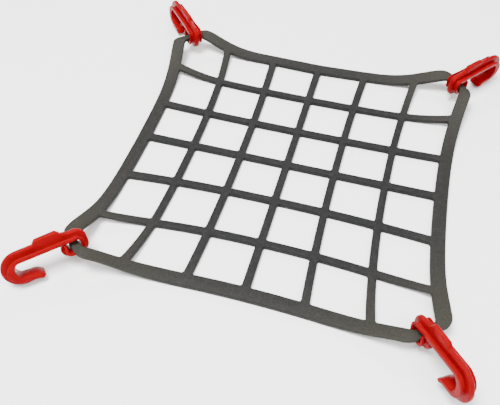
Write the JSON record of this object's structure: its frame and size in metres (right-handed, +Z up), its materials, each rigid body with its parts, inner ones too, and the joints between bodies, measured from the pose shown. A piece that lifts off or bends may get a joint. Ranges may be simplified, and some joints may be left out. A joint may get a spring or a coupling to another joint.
{
  "type": "luggage net",
  "caption": "Square luggage net of moulded rubber strands with a wider rim, laid flat, each curled-up corner held by the eye of a ribbed plastic hook.",
  "frame": {"origin": "middle of the net, on the underside of its central crossing", "axes": "+X right, +Y away, +Z up out of the net's top face"},
  "size_m": [0.3821, 0.392, 0.0453],
  "materials": {
    "rubber_moulded": "matt",
    "plastic_red": "gloss"
  },
  "bodies": {
    "root": {"net": "rubber_moulded", "hook_near_left": "plastic_red", "hook_near_right": "plastic_red", "hook_far_left": "plastic_red", "hook_far_right": "plastic_red"}
  },
  "joints": []
}
